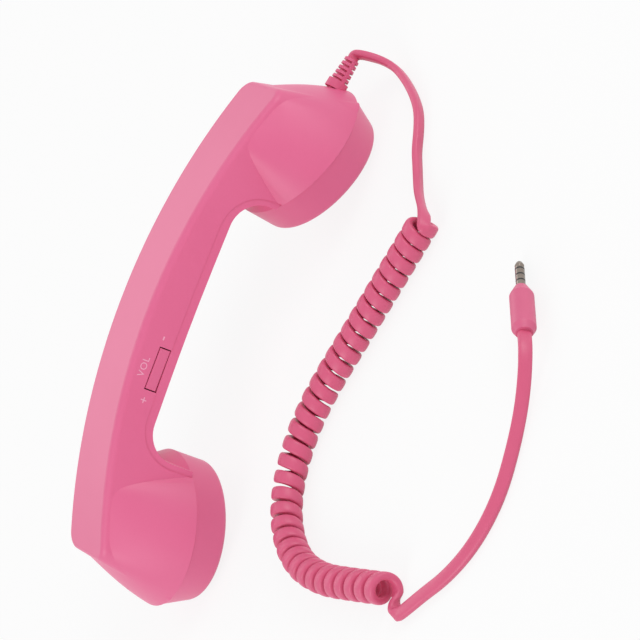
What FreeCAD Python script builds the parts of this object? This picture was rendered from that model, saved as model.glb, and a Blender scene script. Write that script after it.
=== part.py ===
import FreeCAD, Part
import math
import os

os.makedirs("parts", exist_ok=True)
Vec = FreeCAD.Vector

# Retro plug-in handset lying face down on its two cups, in millimetres and degrees.
# X runs along the handset towards the mouth end, Z is up, the volume rocker faces -Y.

# Spine and grip
SPINE_TOP = 64.6
SPINE_ARC = 260.0
SPINE_HALF = 14.2
SPINE_ROUND = 2.6
SIDE_DRAFT = 0.13
END_DRAFT = 0.2
SPINE_MOUTH_END = 92.4
SPINE_EAR_END = -91.6
SPINE_CORNER = 6.0
WALL = 2.0
GRIP_SIDE = 13.7
GRIP_SEAM = SPINE_TOP - GRIP_SIDE
GRIP_SEAM_FALL = 1.2
GRIP_CORNER = 16.0
GRIP_DEPTH = 3.7
GRIP_FLOOR = 1.7
LEG_DEPTH = 2.4
SEAM_STEP = 0.35

# Cups
CUP_RADIUS = 30.5
MOUTH_X = 77.4
EAR_X = -76.3
MOUTH_TILT = 19.7
EAR_TILT = 12.25
MOUTH_CREASE = 75.0
EAR_CREASE = -71.0
DOME_EDGE = 1.8
DOME_OVERLAP = 6.0
DOME_SQUARE = 5.5
DOME_SWELL = 0.6
DOME_POINTS = 40
FLARE_RISE = 14.0
FLARE_DRAW = 5.0
SKIRT_DEPTH = 15.0
RIM_TAPER = 3.7
RIM_RADIUS = CUP_RADIUS - RIM_TAPER
RIM_ROUND = 3.0
RIM_FLOOR = 1.8
RIM_WALL = 3.2
CUP_BORE = RIM_RADIUS - RIM_WALL
FACE_LEDGE = 4.0
FACE_OPENING = CUP_BORE - FACE_LEDGE

# Covers, speaker and microphone
FIT = 0.05
COVER_FLANGE = 1.6
COVER_RECESS = 0.5
HOLE_RADIUS = 0.9
HOLE_RINGS = 3
HOLE_RING_STEP = 4.6
FELT_MARGIN = 1.6
FELT_RADIUS = FACE_OPENING - FELT_MARGIN
FELT_THICK = 0.4
GASKET_THICK = 1.0
GASKET_WIDTH = 4.0
BASKET_RIM = 1.4
BASKET_DEPTH = 5.0
BASKET_WALL = 0.8
MAGNET_RADIUS = 11.0
MAGNET_DEPTH = 5.0
CONE_THICK = 0.5
CONE_SEAT = 1.0
CONE_EDGE = 2.0
BOOT_RADIUS = 7.5
BOOT_DEPTH = 6.5
CAPSULE_RADIUS = 4.85
CAPSULE_DEPTH = 4.5

# Volume rocker, its bracket, switches and board
ROCKER_X = -19.5
ROCKER_LENGTH = 16.3
ROCKER_HEIGHT = 4.3
ROCKER_THICK = 2.2
ROCKER_ROUND = 0.5
ROCKER_GAP = 0.4
ROCKER_DROP = 0.5
ROCKER_SWING = 3.5
PIN_RADIUS = 0.6
PIN_CLEAR = 0.04
PIN_DEPTH = 4.1
STEM_HALF = 0.8
LUG_THICK = 1.1
LUG_GAP = 0.12
LUG_HALF = 1.3
LUG_END = STEM_HALF + LUG_GAP + LUG_THICK
BRACKET_FOOT = 1.0
BOARD_DEPTH = 8.4
BOARD_THICK = 1.2
BOARD_SPAN = (BOARD_DEPTH, BOARD_DEPTH + BOARD_THICK)
BOARD_LENGTH = 38.0
BOARD_HEIGHT = 9.0
SWITCH_X = 5.6
SWITCH_SIZE = 3.2
SWITCH_DEPTH = 2.2
PLUNGER_RADIUS = 0.7
PLUNGER_DEPTH = 0.8
NIB_RADIUS = 0.6
NIB_CLEAR = 0.1
POST_X = 15.0
POST_RISE = 2.0
POST_RADIUS = 2.0
STAKE_RADIUS = 0.9
STAKE_TOP = BOARD_DEPTH + BOARD_THICK + 0.6

# Ballast and case screws
BALLAST_LENGTH = 46.0
BALLAST_WIDTH = 12.0
BALLAST_DEPTH = 6.0
BALLAST_Y = 4.0
SCREW_X = 33.0
SCREW_HEAD_RADIUS = 2.3
SCREW_HEAD = 1.3
SCREW_RADIUS = 1.1
SCREW_LENGTH = 8.0
SCREW_CLEAR = 0.15
PAD_RADIUS = 3.6
PAD_DEPTH = 1.6
PAD_HOLD = 2.2

# Strain relief and cord
RELIEF_RISE = 4.3
RELIEF_SINK = 3.0
RELIEF_DIP = 12.0
RELIEF_FLANGE = 4.2
RELIEF_FLANGE_REACH = 3.4
RELIEF_LENGTH = 13.4
RELIEF_BASE = 3.6
RELIEF_TIP = 2.9
RELIEF_RIBS = 5
RELIEF_GROOVE = 1.2
RELIEF_GROOVE_SHARE = 0.45
RELIEF_WEB = 1.5
RELIEF_STEM = 2.4
RELIEF_COLLAR = 3.4
CORD = 4.0
CURL_RADIUS = 4.4
CURL_PITCH = 6.2
CURL_EVEN = 0.85

# Plug
PLUG_HEADING = 52.0
PLUG_DIP = 8.0
PLUG_REAR = Vec(41.2, -181.4, 0)
GRIP_RADIUS = 4.45
GRIP_LENGTH = 24.0
GRIP_NOSE = 4.6
GRIP_NOSE_RADIUS = 2.4
GRIP_HEEL = 2.6
GRIP_HEEL_RADIUS = 3.1
GRIP_ROUND = 1.2
PLUG_RADIUS = 1.75
PLUG_CORE = 0.9
PLUG_NECK = 1.25
TIP_LENGTH = 4.2
RING_LENGTH = 2.3
BAND_LENGTH = 0.8
SLEEVE_LENGTH = 2.8

# Reach of the blocks that cut and bound the mouldings, all beyond the handset's own size
CUT_REACH = 60.0
CUT_LOW = -30.0
ARCH_REACH = 130.0
BAR_FOOT = 5.0

# Cord routes, chosen by hand: the lead from the strain relief down to the floor and along it,
# the middle line of the curly stretch seen from above, and the tail that ends in the plug
LEAD_STRAIGHT = 4.4
CURL_LEAD = 5.6
PLUG_LEAD = 8.0
FLOOR_Z = CORD / 2
LEAD_ROUTE = [
    Vec(122.9, -5.7, 9.6),
    Vec(122.4, -9.8, 5.4),
    Vec(120.3, -16.8, 3.0),
    Vec(116.2, -26.7, FLOOR_Z),
    Vec(111.6, -36.1, FLOOR_Z),
    Vec(106.6, -43.6, FLOOR_Z),
    Vec(99.8, -48.8, FLOOR_Z),
    Vec(91.9, -53.1, FLOOR_Z),
    Vec(84.3, -58.7, 3.0),
    Vec(77.6, -65.0, 5.4),
    Vec(71.6, -70.6, 8.6),
]
CURL_ROUTE = [
    (62.6, -83.0),
    (26.4, -69.4),
    (-11.0, -54.6),
    (-36.5, -56.0),
    (-54.5, -66.0),
    (-66.0, -84.5),
    (-68.0, -107.0),
    (-64.0, -132.0),
    (-60.1, -154.3),
]
TAIL_ROUTE = [
    Vec(-65.8, -163.2, 2.8),
    Vec(-56.2, -172.6, FLOOR_Z),
    Vec(-48.5, -181.5, FLOOR_Z),
    Vec(-37.5, -190.0, FLOOR_Z),
    Vec(-25.5, -195.0, FLOOR_Z),
    Vec(-12.0, -196.8, FLOOR_Z),
    Vec(3.5, -194.0, FLOOR_Z),
    Vec(16.0, -191.4, 3.2),
    Vec(27.0, -190.6, 6.2),
]


def unit(vector):
    return vector / vector.Length


def rounded_edges(points, radii=None):
    """Straight runs joined by tangent arcs, with the list of arc radii."""
    edges = []
    used = []
    run_share = 0.45
    start = points[0]
    for index in range(1, len(points) - 1):
        before = points[index - 1]
        corner = points[index]
        after = points[index + 1]
        along = unit(corner - before)
        onward = unit(after - corner)
        half_turn = along.getAngle(onward) / 2
        shorter = min((corner - before).Length, (after - corner).Length)
        given = radii[index - 1] if radii else None
        radius = given if given else run_share * shorter / math.tan(half_turn)
        trim = radius * math.tan(half_turn)
        first = corner - along * trim
        last = corner + onward * trim
        inward = unit(onward - along)
        middle = corner + inward * (radius / math.cos(half_turn) - radius)
        edges.append(Part.LineSegment(start, first).toShape())
        edges.append(Part.Arc(first, middle, last).toShape())
        used.append(radius)
        start = last
    edges.append(Part.LineSegment(start, points[-1]).toShape())
    return edges, used


def cylinder(base, direction, radius, length):
    return Part.makeCylinder(radius, length, base, direction)


def fuse(shapes):
    return shapes[0].multiFuse(shapes[1:]).removeSplitter()


def side_prism(points, radii):
    """Closed outline in the XZ plane, extruded across the handset."""
    edges, _ = rounded_edges(points, radii)
    edges.append(Part.LineSegment(points[-1], points[0]).toShape())
    face = Part.Face(Part.Wire(edges))
    solid = face.extrude(Vec(0, 2 * CUT_REACH, 0))
    solid.translate(Vec(0, -CUT_REACH, 0))
    return solid


def spine_fall(x):
    """How far the arched spine has come down at one place along the handset."""
    return SPINE_ARC - math.sqrt(SPINE_ARC**2 - x**2)


class Cup:
    """One end of the handset: its seam centre, its tilted frame and where its dome meets the spine."""

    def __init__(self, x, tilt, outward, end, crease):
        slope = math.radians(tilt)
        self.end = end + outward * END_DRAFT * spine_fall(end)
        self.crease = crease
        self.out = Vec(outward * math.cos(slope), 0, -math.sin(slope))
        self.up = Vec(outward * math.sin(slope), 0, math.cos(slope))
        self.side = self.up.cross(self.out)
        flare = (CUP_RADIUS - SEAM_STEP - RIM_RADIUS) / SKIRT_DEPTH
        reach = RIM_RADIUS + RIM_ROUND * (flare - math.sqrt(1 + flare**2))
        depth = SKIRT_DEPTH - RIM_ROUND
        height = depth * math.cos(slope) + reach * math.sin(slope) + RIM_ROUND
        self.centre = Vec(x, 0, height)

    def at(self, out, side, up):
        return self.centre + self.out * out + self.side * side + self.up * up

    def spine_spot(self, x):
        """Distances outward and up to the spine's top at one place, and the spine's half width there."""
        fall = spine_fall(x)
        arm = Vec(x, 0, SPINE_TOP - fall) - self.centre
        return arm.dot(self.out), arm.dot(self.up), SPINE_HALF + SIDE_DRAFT * fall

    def placed(self, shape):
        """Copy of a shape drawn in the cup's own frame, moved to its place."""
        matrix = FreeCAD.Matrix(
            self.out.x, self.side.x, self.up.x, self.centre.x,
            self.out.y, self.side.y, self.up.y, self.centre.y,
            self.out.z, self.side.z, self.up.z, self.centre.z,
            0, 0, 0, 1,
        )
        copy = shape.copy()
        copy.Placement = FreeCAD.Placement(matrix)
        return copy

    def disc(self, radius, low, high):
        return cylinder(self.at(0, 0, low), self.up, radius, high - low)

    def cone(self, low_radius, high_radius, low, high):
        return Part.makeCone(low_radius, high_radius, high - low, self.at(0, 0, low), self.up)


MOUTH = Cup(MOUTH_X, MOUTH_TILT, 1, SPINE_MOUTH_END, MOUTH_CREASE)
EAR = Cup(EAR_X, EAR_TILT, -1, SPINE_EAR_END, EAR_CREASE)


def dome(cup, inset):
    """Cup wall from the round seam up to the spine's edges, swelling a little on the way."""
    end_out, end_up, end_half = cup.spine_spot(cup.end)
    crease_out, crease_up, crease_half = cup.spine_spot(cup.crease)
    slope = (crease_up - end_up) / (crease_out - end_out)
    widening = (crease_half - end_half) / (crease_out - end_out)
    top = end_up - slope * end_out - DOME_EDGE - inset
    middle = (crease_out - DOME_OVERLAP + end_out) / 2
    long_half = end_out - middle - inset
    short_half = end_half - inset
    sections = []
    for rise, spread in ((0, 1), (0.5, DOME_SWELL), (1, 0)):
        points = []
        for index in range(DOME_POINTS):
            angle = math.pi / 4 + 2 * math.pi * index / DOME_POINTS
            along = math.cos(angle)
            across = math.sin(angle)
            square = abs(along / long_half)**DOME_SQUARE + abs(across / short_half)**DOME_SQUARE
            reach = square**(-1 / DOME_SQUARE) * (1 - spread) + (CUP_RADIUS - inset) * spread
            x = middle * (1 - spread) + along * reach
            width = 1 + (1 - spread) * widening * (x - end_out) / short_half
            points.append(Vec(x, across * reach * width, rise * (top + slope * x)))
        curve = Part.BSplineCurve()
        curve.interpolate(Points=points, PeriodicFlag=True, Parameters=list(range(DOME_POINTS + 1)))
        quarter = DOME_POINTS // 4
        pieces = [curve.toShape(first, first + quarter) for first in range(0, DOME_POINTS, quarter)]
        sections.append(Part.Wire(pieces))
    return cup.placed(Part.makeLoft(sections, True, False))


def plan_corners(height, inset):
    """Corners of the spine bar's drafted outline at one height."""
    fall = SPINE_TOP - height
    half = SPINE_HALF + SIDE_DRAFT * fall - inset
    high = SPINE_MOUTH_END + END_DRAFT * fall - inset
    low = SPINE_EAR_END - END_DRAFT * fall + inset
    return [
        Vec(low, -half, height),
        Vec(high, -half, height),
        Vec(high, half, height),
        Vec(low, half, height),
    ]


def drafted_block(inset, foot, roof):
    """Four-sided block with sloping sides and rounded upright edges."""
    low = plan_corners(foot, inset)
    high = plan_corners(roof, inset)
    faces = [low[::-1], high]
    for index in range(4):
        after = (index + 1) % 4
        faces.append([low[index], low[after], high[after], high[index]])
    shell = Part.Shell([Part.Face(Part.makePolygon(ring + ring[:1])) for ring in faces])
    block = Part.Solid(shell)
    uprights = [edge for edge in block.Edges if edge.BoundBox.ZLength > 1.0]
    return block.makeFillet(SPINE_CORNER - inset, uprights)


def arch_prism(inset):
    """Everything under the arched spine."""
    crown = SPINE_TOP - inset
    side = -CUT_REACH
    spring = crown - SPINE_ARC + math.sqrt(SPINE_ARC**2 - ARCH_REACH**2)
    ear_end = Vec(-ARCH_REACH, side, spring)
    mouth_end = Vec(ARCH_REACH, side, spring)
    arc = Part.Arc(ear_end, Vec(0, side, crown), mouth_end)
    floor = [mouth_end, Vec(ARCH_REACH, side, CUT_LOW), Vec(-ARCH_REACH, side, CUT_LOW), ear_end]
    wire = Part.Wire([arc.toShape()] + Part.makePolygon(floor).Edges)
    return Part.Face(wire).extrude(Vec(0, 2 * CUT_REACH, 0))


def spine_bar(inset):
    """Bar under the arched spine, with drafted sides, running the whole length."""
    return drafted_block(inset, BAR_FOOT, SPINE_TOP + BAR_FOOT).common(arch_prism(inset))


def top_edges(bar):
    """Edges around the arched top face."""
    arch = max(bar.Faces, key=lambda face: face.CenterOfMass.z)
    return arch.Edges


def seam_leg(cup):
    """Where the grip's seam line meets a cup's seam, beside the cup's rim."""
    half = SPINE_HALF + SIDE_DRAFT * (SPINE_TOP - cup.centre.z)
    return cup.at(-math.sqrt(CUP_RADIUS**2 - half**2), 0, 0)


def finger_space(drop, leg):
    """Space under the grip between the cups, drawn in by drop at the grip and by leg at the cups."""
    mouth = seam_leg(MOUTH).x - leg
    ear = seam_leg(EAR).x + leg
    level = GRIP_SEAM - drop
    points = [
        Vec(ear, 0, CUT_LOW),
        Vec(ear, 0, level - GRIP_SEAM_FALL),
        Vec(0, 0, level),
        Vec(mouth, 0, level - GRIP_SEAM_FALL),
        Vec(mouth, 0, CUT_LOW),
    ]
    corner = GRIP_CORNER - drop
    return side_prism(points, [corner, None, corner])


def below_seam(cup):
    return cylinder(cup.at(0, 0, -CUT_REACH), cup.up, CUT_REACH, CUT_REACH)


def relief_axis():
    """Base point and heading of the strain relief at the mouth end."""
    heading = Vec(math.cos(math.radians(RELIEF_DIP)), 0, -math.sin(math.radians(RELIEF_DIP)))
    base = MOUTH.at(CUP_RADIUS - RELIEF_SINK, 0, RELIEF_RISE)
    return base, heading


RELIEF_AT, RELIEF_WAY = relief_axis()


class RockerFrame:
    """Frame on the drafted side face: along the grip, up the face, and inward depth."""

    def __init__(self):
        slope = math.atan(SIDE_DRAFT)
        self.along = Vec(1, 0, 0)
        self.up = Vec(0, math.sin(slope), math.cos(slope))
        self.inward = Vec(0, math.cos(slope), -math.sin(slope))
        height = GRIP_SEAM + ROCKER_HEIGHT / 2 + ROCKER_GAP - ROCKER_DROP
        half = SPINE_HALF + SIDE_DRAFT * (SPINE_TOP - height)
        self.origin = Vec(ROCKER_X, -half, height)

    def at(self, along, up, depth):
        return self.origin + self.along * along + self.up * up + self.inward * depth

    def block(self, along, up, depth):
        """Box between pairs of limits along the three directions."""
        corners = [
            self.at(along[0], up[0], depth[0]),
            self.at(along[1], up[0], depth[0]),
            self.at(along[1], up[1], depth[0]),
            self.at(along[0], up[1], depth[0]),
        ]
        face = Part.Face(Part.makePolygon(corners + corners[:1]))
        return face.extrude(self.inward * (depth[1] - depth[0]))

    def rod(self, along, up, depth, radius, length):
        return cylinder(self.at(along, up, depth), self.inward, radius, length)


SIDE = RockerFrame()


def whole_body(inset):
    bar = spine_bar(inset)
    if inset == 0:
        bar = bar.makeFillet(SPINE_ROUND, top_edges(bar))
    return fuse([bar, dome(MOUTH, inset), dome(EAR, inset)])


PAD_TOP = GRIP_SEAM - GRIP_DEPTH + GRIP_FLOOR + PAD_DEPTH
SCREW_SEAT = PAD_TOP - PAD_HOLD
COVER_LOW = RIM_FLOOR - SKIRT_DEPTH
COVER_HIGH = COVER_LOW + COVER_FLANGE
FELT_HIGH = COVER_HIGH + FELT_THICK
GASKET_HIGH = COVER_HIGH + GASKET_THICK
BASKET_HIGH = GASKET_HIGH + BASKET_RIM
MAGNET_LOW = BASKET_HIGH + BASKET_DEPTH
UP = Vec(0, 0, 1)
SCREW_PLACES = [Vec(-SCREW_X, 0, 0), Vec(SCREW_X, 0, 0)]
BODY = whole_body(0)
HOLLOW = whole_body(WALL)
FINGERS = finger_space(0, 0)


def make_back_shell():
    """Spine, sides and domes in one moulding, with screw bosses and board posts inside."""
    posts = []
    stakes = []
    for way in (-1, 1):
        posts.append(SIDE.rod(POST_X * way, POST_RISE, WALL / 2, POST_RADIUS, BOARD_DEPTH - WALL / 2))
        stakes.append(SIDE.rod(POST_X * way, POST_RISE, WALL, STAKE_RADIUS, STAKE_TOP - WALL))
    bosses = []
    for place in SCREW_PLACES:
        column = cylinder(place + UP * PAD_TOP, UP, PAD_RADIUS, SPINE_TOP - PAD_TOP)
        bosses.append(column.common(arch_prism(WALL / 2)))
    shell = fuse([BODY.cut(HOLLOW)] + posts + stakes + bosses)
    reach = ROCKER_LENGTH / 2 + ROCKER_GAP
    rise = ROCKER_HEIGHT / 2 + ROCKER_GAP
    cuts = [
        FINGERS,
        below_seam(MOUTH),
        below_seam(EAR),
        SIDE.block((-reach, reach), (-2 * rise, rise), (-WALL, WALL + ROCKER_GAP)),
        cylinder(RELIEF_AT - RELIEF_WAY * RELIEF_LENGTH, RELIEF_WAY, RELIEF_STEM, 2 * RELIEF_LENGTH),
    ]
    for place in SCREW_PLACES:
        cuts.append(cylinder(place + UP * SCREW_SEAT, UP, SCREW_RADIUS, SCREW_LENGTH))
    return shell.cut(cuts)


def skirt(cup):
    """Tapered skirt below a cup's seam, with a rounded rim."""
    cone = cup.cone(RIM_RADIUS, CUP_RADIUS - SEAM_STEP, -SKIRT_DEPTH, 0)
    rim = min(cone.Edges, key=lambda edge: (edge.CenterOfMass - cup.at(0, 0, -SKIRT_DEPTH)).Length)
    return cone.makeFillet(RIM_ROUND, [rim])


def flare(cup, bar):
    """Foot of the grip's leg, which spreads to the edge of a cup's skirt."""
    edge = CUP_RADIUS - SEAM_STEP
    return cup.cone(edge, edge - FLARE_DRAW, 0, FLARE_RISE).common(bar)


def make_front_shell():
    """Grip strip and both skirts in one moulding."""
    bar = drafted_block(SEAM_STEP, BAR_FOOT, SPINE_TOP).common(FINGERS)
    strip = bar.cut([finger_space(GRIP_DEPTH, LEG_DEPTH), below_seam(MOUTH), below_seam(EAR)])
    floor_top = PAD_TOP - PAD_DEPTH
    reach = SCREW_X + PAD_RADIUS + WALL
    pocket = Part.makeBox(2 * reach, 2 * CUT_REACH, PAD_DEPTH + WALL, Vec(-reach, -CUT_REACH, floor_top))
    pocket = pocket.common(drafted_block(WALL, BAR_FOOT, SPINE_TOP))
    pads = [cylinder(place + UP * floor_top, UP, PAD_RADIUS, PAD_DEPTH) for place in SCREW_PLACES]
    feet = [flare(MOUTH, bar), flare(EAR, bar)]
    shell = fuse([strip.cut(pocket), skirt(MOUTH), skirt(EAR)] + feet + pads)
    cuts = []
    for cup in (MOUTH, EAR):
        cuts.append(cup.disc(CUP_BORE, COVER_LOW, 0))
        cuts.append(cup.disc(FACE_OPENING, -SKIRT_DEPTH - WALL, 0))
    for place in SCREW_PLACES:
        cuts.append(cylinder(place, UP, SCREW_RADIUS + SCREW_CLEAR, SPINE_TOP))
        cuts.append(cylinder(place, UP, SCREW_HEAD_RADIUS + SCREW_CLEAR, SCREW_SEAT))
    return shell.cut(cuts).removeSplitter()


def make_cover(cup):
    """Perforated disc that seats on the rim's inner floor and fills the face opening."""
    flange = cup.disc(CUP_BORE - FIT, COVER_LOW, COVER_HIGH)
    face = cup.disc(FACE_OPENING - FIT, COVER_RECESS - SKIRT_DEPTH, COVER_LOW)
    holes = [(0, 0)]
    for ring in range(1, HOLE_RINGS + 1):
        count = 6 * ring
        for index in range(count):
            turn = 2 * math.pi * index / count
            holes.append((ring * HOLE_RING_STEP * math.cos(turn), ring * HOLE_RING_STEP * math.sin(turn)))
    drills = [cylinder(cup.at(a, b, -SKIRT_DEPTH), cup.up, HOLE_RADIUS, SKIRT_DEPTH) for a, b in holes]
    return fuse([flange, face]).cut(drills)


def make_felt(cup):
    return cup.disc(FELT_RADIUS, COVER_HIGH, FELT_HIGH)


def make_gasket():
    inner = FELT_RADIUS + FIT
    ring = EAR.disc(inner + GASKET_WIDTH, COVER_HIGH, GASKET_HIGH)
    return ring.cut(EAR.disc(inner, COVER_HIGH, GASKET_HIGH))


def make_basket():
    """Speaker frame: a rim that fills the cup's bore and a cup that carries the magnet."""
    throat = FELT_RADIUS - CONE_SEAT
    rim = EAR.disc(CUP_BORE - FIT, GASKET_HIGH, BASKET_HIGH)
    outer = EAR.cone(throat + BASKET_WALL, MAGNET_RADIUS + BASKET_WALL, BASKET_HIGH, MAGNET_LOW)
    inner = EAR.cone(throat, MAGNET_RADIUS, BASKET_HIGH, MAGNET_LOW - BASKET_WALL)
    window = EAR.disc(throat, GASKET_HIGH, BASKET_HIGH)
    return fuse([rim, outer]).cut([window, inner])


def make_speaker_cone():
    """Paper cone with a flat edge that fits the basket's throat."""
    edge = FELT_RADIUS - CONE_SEAT
    low = GASKET_HIGH
    shoulder = edge - CONE_EDGE
    neck = shoulder / 3
    flat = EAR.disc(edge, low, low + CONE_THICK).cut(EAR.disc(shoulder, low, low + CONE_THICK))
    outer = EAR.cone(shoulder + CONE_THICK, neck + CONE_THICK, low, low + BASKET_DEPTH)
    inner = EAR.cone(shoulder, neck, low, low + BASKET_DEPTH)
    cap = EAR.disc(neck + CONE_THICK, low + BASKET_DEPTH - CONE_THICK, low + BASKET_DEPTH)
    return fuse([flat, outer.cut(inner), cap])


def make_magnet():
    return EAR.disc(MAGNET_RADIUS, MAGNET_LOW, MAGNET_LOW + MAGNET_DEPTH)


def make_boot():
    body = MOUTH.disc(BOOT_RADIUS, FELT_HIGH, FELT_HIGH + BOOT_DEPTH)
    return body.cut(MOUTH.disc(CAPSULE_RADIUS, FELT_HIGH, FELT_HIGH + CAPSULE_DEPTH))


def make_capsule():
    return MOUTH.disc(CAPSULE_RADIUS, FELT_HIGH, FELT_HIGH + CAPSULE_DEPTH)


def make_board():
    half = BOARD_LENGTH / 2
    board = SIDE.block((-half, half), (-ROCKER_HEIGHT / 2, BOARD_HEIGHT - ROCKER_HEIGHT / 2), BOARD_SPAN)
    holes = [
        SIDE.rod(POST_X * way, POST_RISE, BOARD_DEPTH - WALL, STAKE_RADIUS + FIT, 2 * WALL + BOARD_THICK)
        for way in (-1, 1)
    ]
    return board.cut(holes)


def rocker_pin(radius, half):
    return cylinder(SIDE.at(0, -half, PIN_DEPTH), SIDE.up, radius, 2 * half)


def make_bracket():
    """Two lugs on a foot that stands on the board and holds the rocker's pin."""
    foot = (BOARD_DEPTH - BRACKET_FOOT, BOARD_DEPTH)
    shapes = [SIDE.block((-2 * LUG_HALF, 2 * LUG_HALF), (-LUG_END, LUG_END), foot)]
    for low in (STEM_HALF + LUG_GAP, -LUG_END):
        lug = SIDE.block((-LUG_HALF, LUG_HALF), (low, low + LUG_THICK), (PIN_DEPTH, foot[0]))
        eye = cylinder(SIDE.at(0, low, PIN_DEPTH), SIDE.up, LUG_HALF, LUG_THICK)
        shapes += [lug, eye]
    return fuse(shapes).cut(rocker_pin(PIN_RADIUS, LUG_END))


def make_rocker():
    """Flush rocker cap with its stem on the pin and a nib over each switch."""
    cap = SIDE.block(
        (-ROCKER_LENGTH / 2, ROCKER_LENGTH / 2), (-ROCKER_HEIGHT / 2, ROCKER_HEIGHT / 2), (0, ROCKER_THICK)
    )
    front = [edge for edge in cap.Edges if abs((edge.CenterOfMass - SIDE.origin).dot(SIDE.inward)) < FIT]
    cap = cap.makeFillet(ROCKER_ROUND, front)
    stem = SIDE.block((-LUG_HALF, LUG_HALF), (-STEM_HALF, STEM_HALF), (ROCKER_THICK, PIN_DEPTH))
    eye = cylinder(SIDE.at(0, -STEM_HALF, PIN_DEPTH), SIDE.up, LUG_HALF, 2 * STEM_HALF)
    travel = SWITCH_X * math.sin(math.radians(ROCKER_SWING))
    nib_end = BOARD_DEPTH - SWITCH_DEPTH - PLUNGER_DEPTH - travel - NIB_CLEAR
    nibs = [SIDE.rod(SWITCH_X * way, 0, ROCKER_THICK, NIB_RADIUS, nib_end - ROCKER_THICK) for way in (-1, 1)]
    return fuse([cap, stem, eye] + nibs).cut(rocker_pin(PIN_RADIUS + PIN_CLEAR, LUG_END))


def make_switch(way):
    half = SWITCH_SIZE / 2
    top = BOARD_DEPTH - SWITCH_DEPTH
    body = SIDE.block((SWITCH_X * way - half, SWITCH_X * way + half), (-half, half), (top, BOARD_DEPTH))
    return fuse([body, SIDE.rod(SWITCH_X * way, 0, top - PLUNGER_DEPTH, PLUNGER_RADIUS, PLUNGER_DEPTH)])


def make_ballast():
    """Steel bar bonded under the spine."""
    low = SPINE_TOP - WALL - BALLAST_DEPTH
    corner = Vec(-BALLAST_LENGTH / 2, BALLAST_Y - BALLAST_WIDTH / 2, low)
    bar = Part.makeBox(BALLAST_LENGTH, BALLAST_WIDTH, BALLAST_DEPTH, corner)
    return bar.common(arch_prism(WALL))


def make_screw(place):
    head = cylinder(place + UP * (SCREW_SEAT - SCREW_HEAD), UP, SCREW_HEAD_RADIUS, SCREW_HEAD)
    shank = cylinder(place + UP * SCREW_SEAT, UP, SCREW_RADIUS, SCREW_LENGTH - FIT)
    long_side = 2 * SCREW_HEAD_RADIUS - SCREW_HEAD
    short_side = SCREW_HEAD / 2
    slots = []
    for wide, deep in ((long_side, short_side), (short_side, long_side)):
        corner = place + Vec(-wide / 2, -deep / 2, SCREW_SEAT - SCREW_HEAD)
        slots.append(Part.makeBox(wide, deep, SCREW_HEAD / 2, corner))
    return fuse([head, shank]).cut(slots)


def make_relief():
    """Slotted strain relief: collar in the wall, flange outside, ribs on two webs that taper to the cord."""
    stem = cylinder(RELIEF_AT - RELIEF_WAY * WALL, RELIEF_WAY, RELIEF_STEM, 2 * WALL)
    collar = cylinder(RELIEF_AT - RELIEF_WAY * 2 * WALL, RELIEF_WAY, RELIEF_COLLAR, 2 * WALL).common(HOLLOW)
    flange = cylinder(RELIEF_AT, RELIEF_WAY, RELIEF_FLANGE, RELIEF_FLANGE_REACH).cut(BODY)
    start = RELIEF_AT + RELIEF_WAY * RELIEF_FLANGE_REACH
    length = RELIEF_LENGTH - RELIEF_FLANGE_REACH
    core = Part.makeCone(RELIEF_BASE, RELIEF_TIP, length, start, RELIEF_WAY)
    step = length / RELIEF_RIBS
    across = Vec(0, 2 * RELIEF_FLANGE, 0)
    lift = RELIEF_WAY.cross(unit(across)) * RELIEF_WEB
    corner = start - across / 2 - lift / 2
    side = Part.makePolygon([corner, corner + across, corner + across + lift, corner + lift, corner])
    web = Part.Face(side).extrude(RELIEF_WAY * length)
    grooves = []
    for index in range(RELIEF_RIBS):
        place = start + RELIEF_WAY * (step * index)
        outer = cylinder(place, RELIEF_WAY, RELIEF_FLANGE, step * RELIEF_GROOVE_SHARE)
        radius = RELIEF_BASE + (RELIEF_TIP - RELIEF_BASE) * index / RELIEF_RIBS - RELIEF_GROOVE
        grooves.append(outer.cut([cylinder(place, RELIEF_WAY, radius, step), web]))
    return fuse([stem, collar, flange, core.cut(grooves)])


def tube(points, name):
    """Round cord along straight runs and tangent arcs, checked against section times length."""
    edges, radii = rounded_edges(points)
    wire = Part.Wire(edges)
    profile = Part.Wire(Part.makeCircle(CORD / 2, points[0], unit(points[1] - points[0])))
    solid = wire.makePipeShell([profile], True, False)
    ideal = math.pi * CORD**2 / 4 * wire.Length
    print(name, "length %.1f" % wire.Length, "radii", ["%.1f" % radius for radius in radii])
    print(name, "volume over section times length %.4f" % (solid.Volume / ideal))
    return solid


def path_sampler(points):
    """Function that gives the point and heading at a distance along a rounded route."""
    edges, _ = rounded_edges(points)
    lengths = [edge.Length for edge in edges]

    def sample(distance):
        left = min(max(distance, 0.0), sum(lengths))
        for edge, length in zip(edges, lengths):
            if left <= length or edge is edges[-1]:
                share = min(left / length, 1.0)
                spot = edge.FirstParameter + share * (edge.LastParameter - edge.FirstParameter)
                return edge.valueAt(spot), unit(edge.tangentAt(spot))
            left -= length

    return sample, sum(lengths)


CURL_SAMPLE, CURL_REACH = path_sampler([Vec(x, y, CURL_RADIUS + CORD / 2) for x, y in CURL_ROUTE])
CURL_TURNS = math.floor(CURL_REACH / CURL_PITCH) + 0.5


def curl_point(turn):
    """Point of the curled cord after so many turns from the top, which open up a little towards the plug."""
    share = turn / CURL_TURNS
    middle, ahead = CURL_SAMPLE(CURL_REACH * (CURL_EVEN * share + (1 - CURL_EVEN) * share**2))
    left = UP.cross(ahead)
    angle = math.pi / 2 - 2 * math.pi * turn
    return middle + (left * math.cos(angle) + UP * math.sin(angle)) * CURL_RADIUS


def curl_heading(turn):
    step = 0.002
    first = max(turn - step, 0.0)
    last = min(turn + step, CURL_TURNS)
    return unit(curl_point(last) - curl_point(first))


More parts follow.
